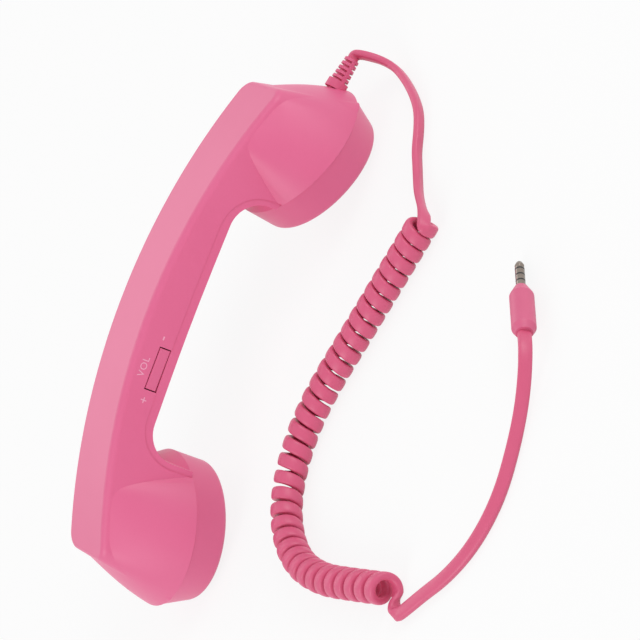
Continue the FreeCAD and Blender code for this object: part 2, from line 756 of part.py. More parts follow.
def biarc(start, heading, end, onward):
    """Two tangent arcs between two points with given headings."""
    chord = end - start
    total = heading + onward
    bend = 2 * (1 - heading.dot(onward))
    along = chord.dot(total)
    reach = (math.sqrt(along**2 + bend * chord.dot(chord)) - along) / bend
    first = start + heading * reach
    last = end - onward * reach
    middle = (first + last) / 2
    arcs = []
    for a, corner, b in ((start, first, middle), (middle, last, end)):
        centre = (a + b) / 2
        cosine = (b - a).Length / 2 / (corner - a).Length
        arcs.append(Part.Arc(a, centre + (corner - centre) * (cosine / (1 + cosine)), b).toShape())
    return arcs


LEVEL_START = unit(Vec(curl_heading(0).x, curl_heading(0).y, 0))
LEVEL_END = unit(Vec(curl_heading(CURL_TURNS).x, curl_heading(CURL_TURNS).y, 0))
CURL_START = curl_point(0) - LEVEL_START * CORD / 2
CURL_END = curl_point(CURL_TURNS) + LEVEL_END * CORD / 2


def make_curly_cord():
    """Curled stretch as one unbroken tube on quarter-turn biarcs with straight ends."""
    quarters = round(4 * CURL_TURNS)
    spots = [curl_point(index / 4) for index in range(quarters + 1)]
    headings = [curl_heading(index / 4) for index in range(quarters + 1)]
    headings[0] = LEVEL_START
    headings[-1] = LEVEL_END
    edges = [Part.LineSegment(CURL_START, spots[0]).toShape()]
    for index in range(quarters):
        edges += biarc(spots[index], headings[index], spots[index + 1], headings[index + 1])
    edges.append(Part.LineSegment(spots[-1], CURL_END).toShape())
    wire = Part.Wire(edges)
    profile = Part.Wire(Part.makeCircle(CORD / 2, CURL_START, LEVEL_START))
    solid = wire.makePipeShell([profile], True, False)
    per_turn = 24
    marks = [curl_point(index / per_turn) for index in range(round(per_turn * CURL_TURNS) + 1)]
    least = min(
        (marks[index] - marks[other]).Length
        for index in range(len(marks))
        for other in range(index + per_turn // 2, min(index + 2 * per_turn, len(marks)))
    )
    tightest = min(edge.Curve.Radius for edge in edges[1:-1])
    ideal = math.pi * CORD**2 / 4 * wire.Length
    print("curly_cord turns", CURL_TURNS, "wire length %.1f" % wire.Length, "tightest arc %.2f" % tightest)
    print("curly_cord least gap to itself %.2f" % (least - CORD))
    print("curly_cord volume over section times length %.4f" % (solid.Volume / ideal))
    return solid


PLUG_LEVEL = Vec(math.cos(math.radians(PLUG_HEADING)), math.sin(math.radians(PLUG_HEADING)), 0)
PLUG_FALL = math.sin(math.radians(PLUG_DIP))
PLUG_FLAT = math.cos(math.radians(PLUG_DIP))
PLUG_WAY = PLUG_LEVEL * PLUG_FLAT - UP * PLUG_FALL
PLUG_UP = PLUG_LEVEL * PLUG_FALL + UP * PLUG_FLAT
PLUG_BACK = PLUG_REAR + UP * (GRIP_RADIUS * PLUG_FLAT + (GRIP_LENGTH - GRIP_NOSE) * PLUG_FALL)


def make_lead():
    tip = RELIEF_AT + RELIEF_WAY * RELIEF_LENGTH
    straight = [tip, tip + RELIEF_WAY * LEAD_STRAIGHT]
    last = [CURL_START - LEVEL_START * CURL_LEAD, CURL_START]
    return tube(straight + LEAD_ROUTE + last, "cord_lead")


def make_tail():
    first = [CURL_END, CURL_END + LEVEL_END * CURL_LEAD]
    last = [PLUG_BACK - PLUG_WAY * PLUG_LEAD, PLUG_BACK]
    return tube(first + TAIL_ROUTE + last, "cord_tail")


def turned(outline):
    """Solid of revolution about the plug's axis, from radius and distance pairs."""
    points = [PLUG_FRONT + PLUG_UP * radius + PLUG_WAY * reach for radius, reach in outline]
    face = Part.Face(Part.makePolygon(points + points[:1]))
    return face.revolve(PLUG_FRONT, PLUG_WAY, 360)


def collar(start, length):
    """Metal ring of the plug, around its insulating core."""
    return turned([
        (PLUG_CORE, start), (PLUG_RADIUS, start), (PLUG_RADIUS, start + length), (PLUG_CORE, start + length)
    ])


def make_plug_grip():
    """Overmould of the plug, drawn in towards the cord and towards the contacts."""
    body = turned([
        (0, -GRIP_LENGTH),
        (GRIP_HEEL_RADIUS, -GRIP_LENGTH),
        (GRIP_RADIUS, GRIP_HEEL - GRIP_LENGTH),
        (GRIP_RADIUS, -GRIP_NOSE),
        (GRIP_NOSE_RADIUS, 0),
        (0, 0),
    ])
    shoulders = [edge for edge in body.Edges if edge.Closed and edge.Length > 2 * math.pi * GRIP_RADIUS - FIT]
    return body.makeFillet(GRIP_ROUND, shoulders)


def make_insulator():
    """Insulating core of the plug with the three bands that part its contacts."""
    shapes = [cylinder(PLUG_FRONT, PLUG_WAY, PLUG_CORE, TIP_START)]
    for start in BAND_STARTS:
        shapes.append(cylinder(PLUG_FRONT + PLUG_WAY * start, PLUG_WAY, PLUG_RADIUS, BAND_LENGTH))
    return fuse(shapes)


def make_tip():
    """Tip contact with its waist and rounded point."""
    waist = TIP_LENGTH / 3
    swell = TIP_LENGTH / 2
    point = TIP_LENGTH * 4 / 5
    return turned([
        (0, TIP_START),
        (PLUG_RADIUS, TIP_START),
        (PLUG_RADIUS, TIP_START + waist / 2),
        (PLUG_NECK, TIP_START + waist),
        (PLUG_RADIUS - FIT, TIP_START + swell),
        (PLUG_NECK, TIP_START + point),
        (PLUG_NECK / 2, TIP_START + TIP_LENGTH),
        (0, TIP_START + TIP_LENGTH),
    ])


PLUG_FRONT = PLUG_BACK + PLUG_WAY * GRIP_LENGTH
CONTACT_STEP = RING_LENGTH + BAND_LENGTH
RING_STARTS = [SLEEVE_LENGTH + BAND_LENGTH + CONTACT_STEP * index for index in range(2)]
BAND_STARTS = [SLEEVE_LENGTH + CONTACT_STEP * index for index in range(3)]
TIP_START = BAND_STARTS[-1] + BAND_LENGTH

NODES = {
    "back_shell": make_back_shell(),
    "front_shell": make_front_shell(),
    "earpiece_cover": make_cover(EAR),
    "mouthpiece_cover": make_cover(MOUTH),
    "earpiece_felt": make_felt(EAR),
    "mouthpiece_felt": make_felt(MOUTH),
    "speaker_gasket": make_gasket(),
    "speaker_basket": make_basket(),
    "speaker_cone": make_speaker_cone(),
    "speaker_magnet": make_magnet(),
    "microphone_boot": make_boot(),
    "microphone_capsule": make_capsule(),
    "control_board": make_board(),
    "rocker_bracket": make_bracket(),
    "rocker_pin": rocker_pin(PIN_RADIUS, LUG_END),
    "volume_rocker": make_rocker(),
    "switch_down": make_switch(1),
    "switch_up": make_switch(-1),
    "ballast_bar": make_ballast(),
    "strain_relief": make_relief(),
    "cord_lead": make_lead(),
    "curly_cord": make_curly_cord(),
    "cord_tail": make_tail(),
    "plug_grip": make_plug_grip(),
    "plug_insulator": make_insulator(),
    "plug_sleeve": collar(0, SLEEVE_LENGTH),
    "plug_tip": make_tip(),
}
for number, place in enumerate(SCREW_PLACES, 1):
    NODES["case_screw_%d" % number] = make_screw(place)
for number, start in enumerate(RING_STARTS, 1):
    NODES["plug_ring_%d" % number] = collar(start, RING_LENGTH)

for name, shape in NODES.items():
    print(name, shape.isValid(), len(shape.Solids), "%.1f" % shape.Volume)
    shape.exportStep("parts/%s.step" % name)
print("rocker pivot", SIDE.at(0, 0, PIN_DEPTH), "axis", SIDE.up)
print("relief tip", RELIEF_AT + RELIEF_WAY * RELIEF_LENGTH, "curl start", CURL_START, "curl end", CURL_END)
print("plug", PLUG_BACK, PLUG_FRONT, "cups", MOUTH.centre, EAR.centre)
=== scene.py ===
"""Looks of a pink retro plug-in handset that lies face down on a pale floor, with its curly cord.

Sizes and places are in metres.
"""

import logging
import math
from dataclasses import dataclass, field
from enum import Enum
from typing import Any

import bmesh
import bpy
from mathutils import Matrix, Vector


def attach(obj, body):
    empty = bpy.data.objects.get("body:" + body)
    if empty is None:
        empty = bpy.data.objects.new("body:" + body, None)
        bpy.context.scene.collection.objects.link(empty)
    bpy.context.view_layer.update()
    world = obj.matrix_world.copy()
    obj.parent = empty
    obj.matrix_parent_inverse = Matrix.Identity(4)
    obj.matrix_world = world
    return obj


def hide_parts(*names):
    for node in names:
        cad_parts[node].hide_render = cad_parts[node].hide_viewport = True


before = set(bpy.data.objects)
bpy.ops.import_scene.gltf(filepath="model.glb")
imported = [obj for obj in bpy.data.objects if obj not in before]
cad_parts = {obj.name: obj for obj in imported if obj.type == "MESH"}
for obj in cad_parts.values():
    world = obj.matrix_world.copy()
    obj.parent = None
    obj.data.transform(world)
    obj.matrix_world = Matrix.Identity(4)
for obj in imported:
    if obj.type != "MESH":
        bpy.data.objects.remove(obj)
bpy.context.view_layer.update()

LOG = logging.getLogger("handset")
HANDSET_BODY = "handset"
UP = Vector((0.0, 0.0, 1.0))

Point = tuple[float, float, float]
Colour = tuple[float, float, float]

# Noise runs from 0 to 1, but keeps mostly to this band around its middle.
NOISE_LOW = 0.3
NOISE_MIDDLE = 0.5
NOISE_HIGH = 0.7

# Where the cord comes out of the strain relief.
RELIEF_END: Point = (0.117847, 0.0, 0.014514)


class Slot(Enum):
    """Material slots of the record."""

    SHELL = "pink_shell"
    CORD = "pink_cord"


class Grain(Enum):
    """How a surface's fine texture is stretched along X, Y and Z."""

    EVEN = (1.0, 1.0, 1.0)
    DRAWN = (1.0, 1.0, 0.12)


def srgb(red: int, green: int, blue: int) -> Colour:
    """Turn a colour from display values into the linear ones that shaders take.

    Args:
        red: Display red, 0 to 255.
        green: Display green, 0 to 255.
        blue: Display blue, 0 to 255.

    Returns:
        The linear colour.
    """
    shares = [value / 255 for value in (red, green, blue)]
    linear = [s / 12.92 if s <= 0.04045 else ((s + 0.055) / 1.055) ** 2.4 for s in shares]
    return linear[0], linear[1], linear[2]


def ease(share: float) -> float:
    """Smooth step from 0 to 1, which starts and ends level."""
    return share * share * (3 - 2 * share)


def step_lengths(points: list[Vector]) -> list[float]:
    """Lengths of the steps from each point to the next."""
    return [(after - before).length for before, after in zip(points, points[1:])]


class Value:
    """A node's output socket that takes part in Python expressions."""

    def __init__(self, graph: "Graph", socket: bpy.types.NodeSocket) -> None:
        """Keep the socket and the graph that it belongs to."""
        self.graph = graph
        self.socket = socket

    def _math(self, operation: str, first: Any, second: Any) -> "Value":
        """Add a Math node that works on two values or numbers."""
        return self.graph.node("ShaderNodeMath", {"operation": operation}, {0: first, 1: second})

    def __add__(self, other: Any) -> "Value":
        """Sum of two values."""
        return self._math("ADD", self, other)

    def __radd__(self, other: Any) -> "Value":
        """Sum with a number on the left."""
        return self._math("ADD", other, self)

    def __sub__(self, other: Any) -> "Value":
        """Difference of two values."""
        return self._math("SUBTRACT", self, other)

    def __rsub__(self, other: Any) -> "Value":
        """Difference from a number on the left."""
        return self._math("SUBTRACT", other, self)

    def __mul__(self, other: Any) -> "Value":
        """Product of two values."""
        return self._math("MULTIPLY", self, other)

    def __rmul__(self, other: Any) -> "Value":
        """Product with a number on the left."""
        return self._math("MULTIPLY", other, self)

    def __or__(self, other: Any) -> "Value":
        """Larger of two values."""
        return self._math("MAXIMUM", self, other)

    def __ror__(self, other: Any) -> "Value":
        """Larger of a number and this value."""
        return self._math("MAXIMUM", other, self)


class Graph:
    """Node tree of a material or of the world, emptied and filled again."""

    def __init__(self, tree: bpy.types.NodeTree) -> None:
        """Clear the tree."""
        self.tree = tree
        tree.nodes.clear()

    def node(
        self, kind: str, settings: dict[str, Any], sockets: dict[str | int, Any], output: str | int = 0
    ) -> Value:
        """Add one node.

        Args:
            kind: The node's type.
            settings: Its properties, which are set first. "stops" are a ramp's places and colours.
            sockets: Numbers, colours or links for its input sockets.
            output: The output to hand back.

        Returns:
            The chosen output, or for a closing node its first input.
        """
        made = self.tree.nodes.new(kind)
        for name, setting in settings.items():
            if name == "stops":
                for element, (place, colour) in zip(made.color_ramp.elements, setting):
                    element.position = place
                    element.color = (*colour, 1.0)
            else:
                setattr(made, name, setting)
        for name, given in sockets.items():
            if isinstance(given, Value):
                self.tree.links.new(given.socket, made.inputs[name])
            else:
                made.inputs[name].default_value = given
        return Value(self, made.outputs[output] if made.outputs else made.inputs[0])

    def place(self, grain: Grain) -> Value:
        """Object coordinates in metres, stretched by the grain."""
        coordinates = self.node("ShaderNodeTexCoord", {}, {}, "Object")
        return self.node("ShaderNodeVectorMath", {"operation": "MULTIPLY"}, {0: coordinates, 1: grain.value})

    def noise(self, place: Value, size: float, detail: float) -> Value:
        """Noise whose spots are about so many metres across."""
        return self.node("ShaderNodeTexNoise", {}, {"Vector": place, "Scale": 1 / size, "Detail": detail})

    def blend(self, share: Value, first: Colour, second: Colour) -> Value:
        """Mix of two colours by a value from 0 to 1."""
        stops = {"stops": [(NOISE_LOW, first), (NOISE_HIGH, second)]}
        return self.node("ShaderNodeValToRGB", stops, {"Fac": share})

    def seen(self) -> Value:
        """Tell what is looked at from what only lights the scene.

        Returns:
            1 where the camera, a reflection or a view through glass sees the surface, else 0.
        """
        rays = [
            self.node("ShaderNodeLightPath", {}, {}, name)
            for name in ("Is Camera Ray", "Is Glossy Ray", "Is Transmission Ray")
        ]
        return rays[0] | rays[1] | rays[2]


@dataclass(frozen=True)
class Finish:
    """A surface finish with a slow drift of colour and a fine moulded grain.

    Attributes:
        name: Name of the material.
        colour: First colour.
        tint: Second colour, which the first drifts to.
        roughness: Roughness in the middle of its range.
        spread: How far the grain spreads the roughness.
        metallic: 1 for metal.
        sheen: Weight of the fuzz on the surface.
        sheen_roughness: Roughness of that fuzz.
        coat: Weight of the clear coat.
        coat_roughness: Roughness of that coat.
        drift_size: Size of the spots that the colour drifts over.
        drift_detail: How many finer layers the drift has.
        drift_share: Part of the drift in the mix of colours. The grain has the rest.
        grain: Which way the grain runs.
        grain_size: Size of the grain's spots.
        grain_detail: How many finer layers the grain has.
        grain_depth: Depth of the grain.
        grain_strength: How strongly that depth shows.
    """

    name: str
    colour: Colour
    tint: Colour
    roughness: float
    spread: float = 0.08
    metallic: float = 0.0
    sheen: float = 0.0
    sheen_roughness: float = 0.5
    coat: float = 0.0
    coat_roughness: float = 0.4
    drift_size: float = 0.03
    drift_detail: float = 2.0
    drift_share: float = 0.6
    grain: Grain = Grain.EVEN
    grain_size: float = 0.0004
    grain_detail: float = 3.0
    grain_depth: float = 0.00002
    grain_strength: float = 0.5

    def material(self) -> bpy.types.Material:
        """Make the finish's material, or hand back the one already made.

        Returns:
            The material.
        """
        known = bpy.data.materials.get(self.name)
        if known:
            return known
        material = bpy.data.materials.new(self.name)
        material.use_nodes = True
        graph = Graph(material.node_tree)
        place = graph.place(self.grain)
        grain = graph.noise(place, self.grain_size, self.grain_detail)
        drift = graph.noise(place, self.drift_size, self.drift_detail)
        bump = graph.node(
            "ShaderNodeBump",
            {},
            {"Height": grain, "Strength": self.grain_strength, "Distance": self.grain_depth},
            "Normal",
        )
        shader = graph.node(
            "ShaderNodeBsdfPrincipled",
            {},
            {
                "Base Color": graph.blend(self.mottle(graph, drift, grain), self.colour, self.tint),
                "Roughness": self.roughness + self.spread * (grain - NOISE_MIDDLE),
                "Metallic": self.metallic,
                "Sheen Weight": self.sheen,
                "Sheen Roughness": self.sheen_roughness,
                "Coat Weight": self.coat,
                "Coat Roughness": self.coat_roughness,
                "Normal": bump,
            },
        )
        graph.node("ShaderNodeOutputMaterial", {}, {"Surface": shader})
        return material

    def mottle(self, graph: Graph, drift: Value, grain: Value) -> Value:
        """Share of the second colour at each place."""
        return self.drift_share * drift + (1 - self.drift_share) * grain

    def dress(self, piece: bpy.types.Object) -> None:
        """Give a piece this finish in all its slots.

        Args:
            piece: The piece.
        """
        if not piece.material_slots:
            piece.data.materials.append(None)
        for slot in piece.material_slots:
            slot.material = self.material()


@dataclass(frozen=True)
class Fibre(Finish):
    """Felted or pressed fibre: short strands in two shades.

    Attributes:
        strand_size: Width of the strands.
        strand_detail: How many finer layers they have.
        strand_share: Part of the strands in the mix of colours. The grain has the rest.
    """

    strand_size: float = 0.0012
    strand_detail: float = 6.0
    strand_share: float = 0.6

    def mottle(self, graph: Graph, drift: Value, grain: Value) -> Value:
        """Share of the second colour, streaked by strands."""
        strands = graph.noise(graph.place(Grain.DRAWN), self.strand_size, self.strand_detail)
        return self.strand_share * strands + (1 - self.strand_share) * grain


@dataclass(frozen=True)
class Circuit(Finish):
    """Solder mask over copper tracks that show as paler bands.

    Attributes:
        track_scale: Scale of the bands. A larger one sets them closer.
        track_wander: How far they wander.
        track_share: Part of the bands in the mix of colours. The drift has the rest.
    """

    track_scale: float = 62.5
    track_wander: float = 1.5
    track_share: float = 0.8

    def mottle(self, graph: Graph, drift: Value, grain: Value) -> Value:
        """Share of the second colour, in bands that wander a little.

        Args:
            graph: The material's graph.
            drift: The slow drift of colour.
            grain: The fine grain. Not used.

        Returns:
            The share, from 0 to 1.
        """
        bands = graph.node(
            "ShaderNodeTexWave",
            {"bands_direction": "Z"},
            {
                "Vector": graph.place(Grain.EVEN),
                "Scale": self.track_scale,
                "Distortion": self.track_wander,
            },
            "Fac",
        )
        return self.track_share * bands + (1 - self.track_share) * drift


SOFT_TOUCH = Finish("soft_touch_pink", srgb(226, 98, 143), srgb(229, 103, 148), 0.5, 0.06, coat=0.35)
ROCKER_PINK = Finish("rocker_pink", srgb(222, 96, 140), srgb(225, 101, 145), 0.45, 0.05, coat=0.35)
SHEATH = Finish("cord_sheath_pink", srgb(218, 90, 128), srgb(222, 95, 133), 0.42, 0.05, drift_size=0.012)
BOOT_PINK = Finish("relief_pink", srgb(223, 94, 136), srgb(227, 99, 141), 0.45, 0.06, drift_size=0.008)
GRIP_PINK = Finish("plug_grip_pink", srgb(218, 98, 136), srgb(222, 103, 141), 0.45, 0.06, drift_size=0.008)
INK = Finish("pale_pink_print", srgb(241, 166, 195), srgb(245, 174, 202), 0.5, 0.05, drift_size=0.002)
NICKEL = Finish(
    "nickel_plate", srgb(132, 121, 113), srgb(154, 143, 134), 0.24, 0.16, 1.0, drift_size=0.002,
    grain=Grain.DRAWN, grain_size=0.00015, grain_depth=0.000006,
)
BAND = Finish("black_band", srgb(30, 29, 30), srgb(38, 37, 38), 0.4, drift_size=0.002)
STEEL = Finish(
    "zinc_steel", srgb(150, 150, 152), srgb(172, 172, 170), 0.35, 0.2, 1.0, drift_size=0.004,
    grain=Grain.DRAWN, grain_size=0.0003,
)
FRAME_STEEL = Finish(
    "speaker_frame_steel", srgb(128, 129, 133), srgb(146, 146, 148), 0.4, 0.2, 1.0, drift_size=0.006
)
CAN = Finish(
    "capsule_aluminium", srgb(176, 177, 180), srgb(190, 190, 191), 0.3, 0.15, 1.0, drift_size=0.003,
    grain=Grain.DRAWN, grain_size=0.0002,
)
RUBBER = Finish("black_rubber", srgb(33, 32, 33), srgb(42, 41, 41), 0.75, 0.1, drift_size=0.006)
PLASTIC = Finish("black_plastic", srgb(28, 28, 30), srgb(36, 36, 38), 0.45, drift_size=0.004)
FELT = Fibre("dark_felt", srgb(40, 34, 38), srgb(62, 52, 58), 0.95, 0.05, sheen=0.3, grain_depth=0.0001)
PAPER = Fibre("cone_paper", srgb(58, 56, 54), srgb(76, 73, 70), 0.85, 0.08, grain_depth=0.00006)
BOARD = Circuit("board_green", srgb(22, 84, 52), srgb(44, 112, 72), 0.4, 0.08)


def finish_nodes(nodes: tuple[str, ...], finish: Finish) -> None:
    """Dress CAD nodes that keep their own shape.

    Args:
        nodes: The nodes' names.
        finish: The finish that they get.
    """
    for name in nodes:
        finish.dress(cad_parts[name])
        LOG.info("dressed %s in %s", name, finish.name)


def new_piece(name: str, mesh: bpy.types.Mesh, finish: Finish) -> bpy.types.Object:
    """Make an object of a mesh, and let it ride on the handset.

    Args:
        name: The piece's name.
        mesh: Its mesh, in metres in the model's frame.
        finish: The finish itself.

    Returns:
        The new object.
    """
    piece = bpy.data.objects.new(name, mesh)
    bpy.context.scene.collection.objects.link(piece)
    finish.dress(piece)
    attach(piece, HANDSET_BODY)
    LOG.info("built %s with %d faces", name, len(mesh.polygons))
    return piece


@dataclass
class HandsetCase:
    """The two shell mouldings, their screws and the steel bar that gives the handset its weight."""

    shells: tuple[str, ...] = ("back_shell", "front_shell")
    steelwork: tuple[str, ...] = ("case_screw_1", "case_screw_2", "ballast_bar")

    def build(self) -> None:
        """Dress the case."""
        finish_nodes(self.shells, SOFT_TOUCH)
        finish_nodes(self.steelwork, STEEL)


@dataclass
class PrintMark:
    """One printed sign on the side of the grip.

    Attributes:
        name: Name of the piece.
        text: What is printed.
        along: Place along the grip.
        height: Height above the floor.
        size: Size of the letters.
        spacing: Space between the letters, as a share of the usual one.
    """

    name: str
    text: str
    along: float
    height: float
    size: float
    spacing: float = 1.0


@dataclass
class VolumeControl:
    """The rocker in the side of the grip, what it works on, and the signs printed around it.

    Attributes:
        spine_top: Height of the spine above the floor.
        spine_half: Half of the spine's width.
        draft: How far the side leans out for each metre down from the spine.
        ink_lift: How far the print stands off the side.
        marks: The printed signs.
    """

    spine_top: float = 0.0646
    spine_half: float = 0.0142
    draft: float = 0.13
    ink_lift: float = 0.00003
    marks: list[PrintMark] = field(
        default_factory=lambda: [
            PrintMark("print_vol", "VOL", -0.0202, 0.0586, 0.0038, 1.12),
            PrintMark("print_minus", "-", -0.0076, 0.0557, 0.0060),
            PrintMark("print_plus", "+", -0.0321, 0.0538, 0.0048),
        ]
    )

    def side_place(self, along: float, height: float) -> Matrix:
        """Frame on the side face, with its Z axis out of the face.

        Args:
            along: Place along the grip.
            height: Height above the floor.

        Returns:
            The frame as a matrix.
        """
        slope = math.atan(self.draft)
        upward = Vector((0.0, math.sin(slope), math.cos(slope)))
        outward = Vector((1.0, 0.0, 0.0)).cross(upward)
        depth = self.spine_half + self.draft * (self.spine_top - height)
        origin = Vector((along, -depth, height)) + outward * self.ink_lift
        turn = Matrix(((1.0, 0.0, 0.0), upward, outward)).transposed().to_4x4()
        return Matrix.Translation(origin) @ turn

    def print_mark(self, mark: PrintMark) -> None:
        """Print one sign on the side face.

        Args:
            mark: The sign.
        """
        curve = bpy.data.curves.new(mark.name, "FONT")
        curve.body = mark.text
        curve.size = mark.size
        curve.space_character = mark.spacing
        curve.align_x = "CENTER"
        curve.align_y = "CENTER"
        curve.extrude = self.ink_lift / 2
        writing = bpy.data.objects.new(mark.name, curve)
        mesh = bpy.data.meshes.new_from_object(writing)
        bpy.data.objects.remove(writing)
        bpy.data.curves.remove(curve)
        mesh.transform(self.side_place(mark.along, mark.height))
        new_piece(mark.name, mesh, INK)

    def build(self) -> None:
        """Dress the rocker and its works, and print the signs."""
        finish_nodes(("volume_rocker",), ROCKER_PINK)
        finish_nodes(("rocker_bracket", "switch_down", "switch_up"), PLASTIC)
        finish_nodes(("rocker_pin",), STEEL)
        finish_nodes(("control_board",), BOARD)
        for mark in self.marks:
            self.print_mark(mark)


@dataclass
class Receiver:
    """The ear end: its pierced cover, felt and small loudspeaker."""

    def build(self) -> None:
        """Dress the ear end."""
        finish_nodes(("earpiece_cover",), SOFT_TOUCH)
        finish_nodes(("earpiece_felt",), FELT)
        finish_nodes(("speaker_gasket",), RUBBER)
        finish_nodes(("speaker_basket",), FRAME_STEEL)
        finish_nodes(("speaker_cone",), PAPER)
        finish_nodes(("speaker_magnet",), STEEL)


@dataclass
class Transmitter:
    """The mouth end: its pierced cover, felt and microphone in a rubber boot."""

    def build(self) -> None:
        """Dress the mouth end."""
        finish_nodes(("mouthpiece_cover",), SOFT_TOUCH)
        finish_nodes(("mouthpiece_felt",), FELT)
        finish_nodes(("microphone_boot",), RUBBER)
        finish_nodes(("microphone_capsule",), CAN)


@dataclass
class JackPlug:
    """The four-pole plug on the cord's far end."""

    metal: tuple[str, ...] = ("plug_sleeve", "plug_ring_1", "plug_ring_2", "plug_tip")

    def build(self) -> list[bpy.types.Object]:
        """Dress the plug.

        Returns:
            The pieces of the plug.
        """
        finish_nodes(("plug_grip",), GRIP_PINK)
        finish_nodes(("plug_insulator",), BAND)
        finish_nodes(self.metal, NICKEL)
        return [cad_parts[name] for name in ("plug_grip", "plug_insulator", *self.metal)]


@dataclass
class Ring:
    """One cross-section of the cord: its middle, the way it faces and how wide it is."""

    middle: Vector
    face: Vector
    width: float


@dataclass
class CordRun:
    """Flat-sheathed cord from the strain relief through its curls to the plug.

    Attributes:
        width: Width of the flat sheath.
        thickness: Thickness of the sheath.
        corner: Power of the sheath's rounded outline. A larger one makes it squarer.
        around: Points in that outline.
        neck_width: Width of the sheath as it comes out of the strain relief.
        neck_length: Way over which it takes on its full width.
        length: Length along the sheath. Not used.
        lead_leans: How far the lead's wide face turns from level at both ends, in radians.
        lead_wrap: Way over which the lead turns over the first curl.
        tail_leans: How far the tail's wide face turns from level at both ends, in radians.
        tail_hook: Way from the curls to the middle of the tail's hook.
        plain_fineness: How finely the lead and the tail are read.
        curl_radius: Radius of the curls at the middle of the sheath.
        curl_start: Angle at which the lead joins the curls, in radians above level.
        curl_count: Whole curls.
        curl_steps: Rings in each curl.
        curl_even: How evenly the curls lie. Below 1 they open toward the tail.
        curl_fineness: How finely the curls' middle line is read.
        lead: Route from the strain relief to the curls.
        curl: Route of the curls' middle line.
        tail: Route from the curls to the plug.
    """

    width: float = 0.005
    thickness: float = 0.003
    corner: float = 3.2
    around: int = 20
    neck_width: float = 0.0042
    neck_length: float = 0.012
    length: float = 1.26
    lead_leans: tuple[float, float] = (1.4, 0.9)
    lead_wrap: float = 0.02
    tail_leans: tuple[float, float] = (0.0, 1.2)
    tail_hook: float = 0.0065
    plain_fineness: int = 12
    curl_radius: float = 0.0046
    curl_start: float = -math.pi / 9
    curl_count: int = 34
    curl_steps: int = 36
    curl_even: float = 0.85
    curl_fineness: int = 24
    lead: list[Point] = field(
        default_factory=lambda: [
            (0.115891, 0.0, 0.01493),
            RELIEF_END,
            (0.1206, 0.0, 0.01393),
            (0.1214, -0.0056, 0.0098),
            (0.1214, -0.0098, 0.0058),
            (0.1199, -0.0168, 0.0033),
            (0.1161, -0.0267, 0.0026),
            (0.1116, -0.0361, 0.0026),
            (0.1066, -0.0436, 0.0026),
            (0.0998, -0.0488, 0.0026),
            (0.0919, -0.0531, 0.0026),
            (0.0867, -0.0577, 0.0026),
            (0.0814, -0.0626, 0.0028),
            (0.0766, -0.069, 0.004),
            (0.0724, -0.0775, 0.0056),
            (0.0692, -0.0862, 0.0078),
            (0.0644, -0.0897, 0.0086),
            (0.0649, -0.0884, 0.0048),
        ]
    )
    curl: list[Point] = field(
        default_factory=lambda: [
            (0.0664, -0.0844, 0.0064),
            (0.0264, -0.0694, 0.0064),
            (-0.011, -0.0546, 0.0064),
            (-0.0365, -0.056, 0.0064),
            (-0.0545, -0.066, 0.0064),
            (-0.066, -0.0845, 0.0064),
            (-0.068, -0.107, 0.0064),
            (-0.064, -0.132, 0.0064),
            (-0.0601, -0.1543, 0.0064),
        ]
    )
    tail: list[Point] = field(
        default_factory=lambda: [
            (-0.0601, -0.1543, 0.0018),
            (-0.067, -0.15748, 0.0027),
            (-0.0672, -0.1617, 0.0028),
            (-0.0634, -0.1658, 0.0027),
            (-0.0562, -0.1726, 0.0023),
            (-0.0485, -0.1815, 0.0023),
            (-0.0375, -0.19, 0.0024),
            (-0.0255, -0.195, 0.0025),
            (-0.012, -0.1968, 0.0026),
            (0.0035, -0.194, 0.0026),
            (0.016, -0.1914, 0.0034),
            (0.027, -0.1906, 0.0062),
            (0.036323, -0.187643, 0.00822),
            (0.0412, -0.1814, 0.007107),
            (0.042419, -0.179839, 0.006829),
        ]
    )

    @property
    def curl_turns(self) -> float:
        """Turns from the lead to the tail, which leaves the curls under their middle line."""
        return self.curl_count + (self.curl_start + math.pi / 2) / (2 * math.pi)

    def smooth_line(self, route: list[Point], fineness: int) -> list[Vector]:
        """Read the points of a smooth spline that has the route as its control points.

        Args:
            route: The control points.
            fineness: How finely each stretch of the spline is read.

        Returns:
            The spline's points in order.
        """
        curve = bpy.data.curves.new("cord_line", "CURVE")
        curve.dimensions = "3D"
        spline = curve.splines.new("NURBS")
        spline.points.add(len(route) - 1)
        for point, place in zip(spline.points, route):
            point.co = (*place, 1.0)
        spline.order_u = 3
        spline.use_endpoint_u = True
        spline.resolution_u = fineness
        line = bpy.data.objects.new("cord_line", curve)
        mesh = bpy.data.meshes.new_from_object(line)
        points = [vertex.co.copy() for vertex in mesh.vertices]
        bpy.data.objects.remove(line)
        bpy.data.curves.remove(curve)
        bpy.data.meshes.remove(mesh)
        return points

    def plain_rings(self, route: list[Point], leans: tuple[float, float], hook: float) -> list[Ring]:
        """Rings of a stretch without curls, which stands on its edge where it hooks out of them.

        Args:
            route: The stretch's control points.
            leans: How far the wide face turns from level at both ends, in radians.
            hook: Way from the stretch's start to the middle of its hook, 0 where it has none.

        Returns:
            The rings in order.
        """
        points = self.smooth_line(route, self.plain_fineness)
        runs = step_lengths(points)
        reach = sum(runs)
        rings = []
        gone = 0.0
        for point, after, run in zip(points, points[1:], runs):
            lean = leans[0] + (leans[1] - leans[0]) * gone / reach
            if gone < 2 * hook:
                lean += (math.pi / 2 - lean) * math.sin(math.pi / 2 * gone / hook) ** 2
            across = (after - point).cross(UP).normalized()
            rings.append(Ring(point, UP * math.cos(lean) + across * math.sin(lean), self.width))
            gone += run
        return rings

